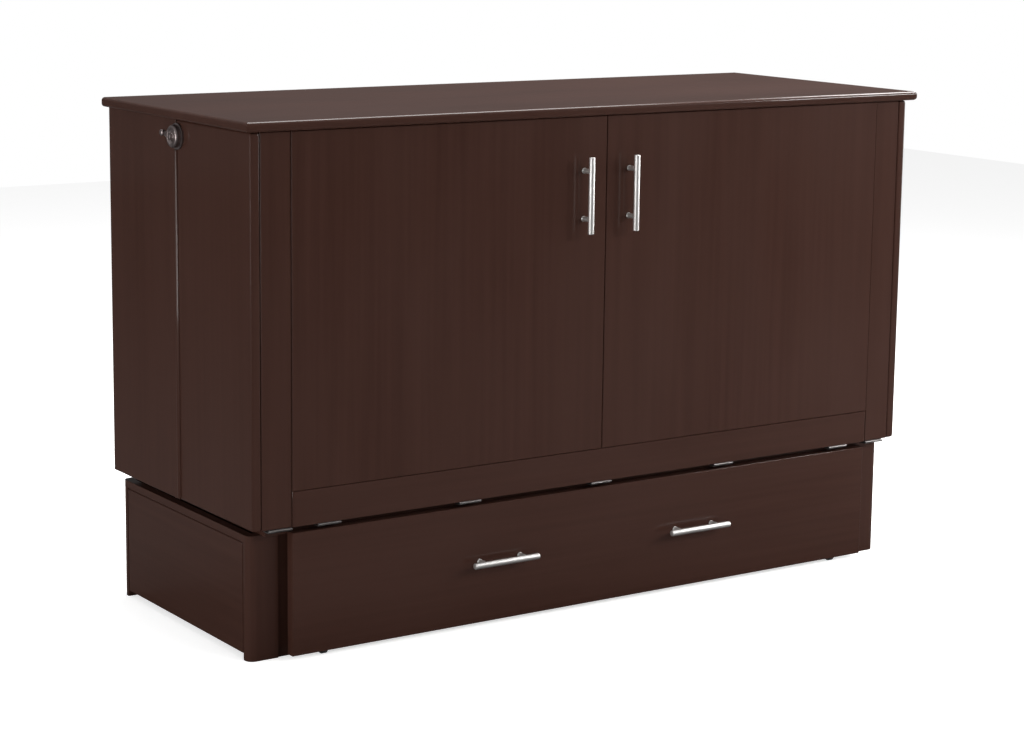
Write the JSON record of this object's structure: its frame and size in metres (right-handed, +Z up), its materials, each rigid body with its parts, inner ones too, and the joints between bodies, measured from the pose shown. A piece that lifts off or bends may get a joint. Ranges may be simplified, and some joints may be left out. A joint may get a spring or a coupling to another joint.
{
  "type": "cabinet bed",
  "caption": "Chest-style cabinet bed, closed: dark lacquered cabinet whose front tilts down with its half-sides, lid, base drawer, side latches and folded mattress inside.",
  "frame": {"origin": "middle of the bounding box, on the floor", "axes": "+Z up, the front faces -Y, +X to the right as seen from the front"},
  "size_m": [1.6408, 0.6419, 1.029],
  "materials": {
    "espresso_lacquer": "satin espresso lacquer on board",
    "birch_plywood": "clear matt lacquer",
    "satin_nickel": "satin nickel",
    "hinge_steel": "zinc plated",
    "antique_bronze": "dark bronze",
    "mattress_cover": "knitted ticking",
    "wheel_plastic": "moulded"
  },
  "bodies": {
    "cabinet": {"base_front_post_left": "espresso_lacquer", "base_front_post_right": "espresso_lacquer", "base_rear_post_left": "espresso_lacquer", "base_rear_post_right": "espresso_lacquer", "base_side_left": "espresso_lacquer", "base_side_right": "espresso_lacquer", "base_back": "espresso_lacquer", "base_deck": "espresso_lacquer", "drawer_guides": "espresso_lacquer", "cabinet_floor": "espresso_lacquer", "cabinet_back": "espresso_lacquer", "rear_side_left": "espresso_lacquer", "rear_side_right": "espresso_lacquer", "seam_strip_left": "espresso_lacquer", "seam_strip_right": "espresso_lacquer", "lid_hinge_fixed_leaves": "hinge_steel", "lid_hinge_pins": "hinge_steel", "front_hinge_fixed_leaves": "hinge_steel", "front_hinge_pins": "hinge_steel", "latch_keeper_left": "antique_bronze", "latch_keeper_right": "antique_bronze", "mattress_front": "mattress_cover", "mattress_middle": "mattress_cover", "mattress_rear": "mattress_cover"},
    "front": {"front_panel": "espresso_lacquer", "stile_left": "espresso_lacquer", "stile_right": "espresso_lacquer", "door_left": "espresso_lacquer", "door_right": "espresso_lacquer", "bottom_rail": "espresso_lacquer", "front_side_left": "espresso_lacquer", "front_side_right": "espresso_lacquer", "front_hinge_moving_leaves": "hinge_steel", "door_pull_left": "satin_nickel", "door_pull_right": "satin_nickel", "door_pull_screws": "hinge_steel", "latch_base_left": "antique_bronze", "latch_base_right": "antique_bronze", "foot_deck": "birch_plywood", "foot_deck_hinges": "hinge_steel", "foot_legs": "birch_plywood", "foot_leg_brackets": "hinge_steel"},
    "lid": {"lid_panel": "espresso_lacquer", "lid_hinge_moving_leaves": "hinge_steel"},
    "drawer": {"drawer_front": "espresso_lacquer", "drawer_side_left": "espresso_lacquer", "drawer_side_right": "espresso_lacquer", "drawer_back": "espresso_lacquer", "drawer_bottom": "birch_plywood", "drawer_pull_left": "satin_nickel", "drawer_pull_right": "satin_nickel", "drawer_pull_screws": "hinge_steel", "caster_brackets": "hinge_steel", "caster_axles": "hinge_steel"},
    "latch_left": {"latch_cam_left": "antique_bronze"},
    "latch_right": {"latch_cam_right": "antique_bronze"},
    "wheel_front_left": {"wheel_front_left": "wheel_plastic"},
    "wheel_front_right": {"wheel_front_right": "wheel_plastic"},
    "wheel_rear_left": {"wheel_rear_left": "wheel_plastic"},
    "wheel_rear_right": {"wheel_rear_right": "wheel_plastic"}
  },
  "joints": [
    {"name": "front_tilt", "type": "hinge", "parent": "cabinet", "child": "front", "pos_m": [0, -0.28845, 0.26], "axis": [1, 0, 0], "range_deg": [0, 90]},
    {"name": "lid_lift", "type": "hinge", "parent": "cabinet", "child": "lid", "pos_m": [0, 0.31675, 1.01], "axis": [-1, 0, 0], "range_deg": [0, 100]},
    {"name": "drawer_slide", "type": "slide", "parent": "cabinet", "child": "drawer", "axis": [0, -1, 0], "range_m": [0, 0.44]},
    {"name": "latch_left_turn", "type": "hinge", "parent": "front", "child": "latch_left", "pos_m": [-0.8, 0.00455, 0.977], "axis": [-1, 0, 0], "range_deg": [0, 180]},
    {"name": "latch_right_turn", "type": "hinge", "parent": "front", "child": "latch_right", "pos_m": [0.8, 0.00455, 0.977], "axis": [-1, 0, 0], "range_deg": [0, 180]},
    {"name": "wheel_front_left_roll", "type": "hinge", "parent": "drawer", "child": "wheel_front_left", "pos_m": [-0.64, -0.26945, 0.011], "axis": [1, 0, 0], "range_deg": [0, 2300]},
    {"name": "wheel_front_right_roll", "type": "hinge", "parent": "drawer", "child": "wheel_front_right", "pos_m": [0.64, -0.26945, 0.011], "axis": [1, 0, 0], "range_deg": [0, 2300]},
    {"name": "wheel_rear_left_roll", "type": "hinge", "parent": "drawer", "child": "wheel_rear_left", "pos_m": [-0.64, 0.21255, 0.011], "axis": [1, 0, 0], "range_deg": [0, 2300]},
    {"name": "wheel_rear_right_roll", "type": "hinge", "parent": "drawer", "child": "wheel_rear_right", "pos_m": [0.64, 0.21255, 0.011], "axis": [1, 0, 0], "range_deg": [0, 2300]}
  ],
  "couplings": [
    {"joint": "lid_lift", "follows": "front_tilt", "ratio": 1.1111},
    {"joint": "wheel_front_left_roll", "follows": "drawer_slide", "rad_per_m": 90.909},
    {"joint": "wheel_front_right_roll", "follows": "drawer_slide", "rad_per_m": 90.909},
    {"joint": "wheel_rear_left_roll", "follows": "drawer_slide", "rad_per_m": 90.909},
    {"joint": "wheel_rear_right_roll", "follows": "drawer_slide", "rad_per_m": 90.909}
  ]
}
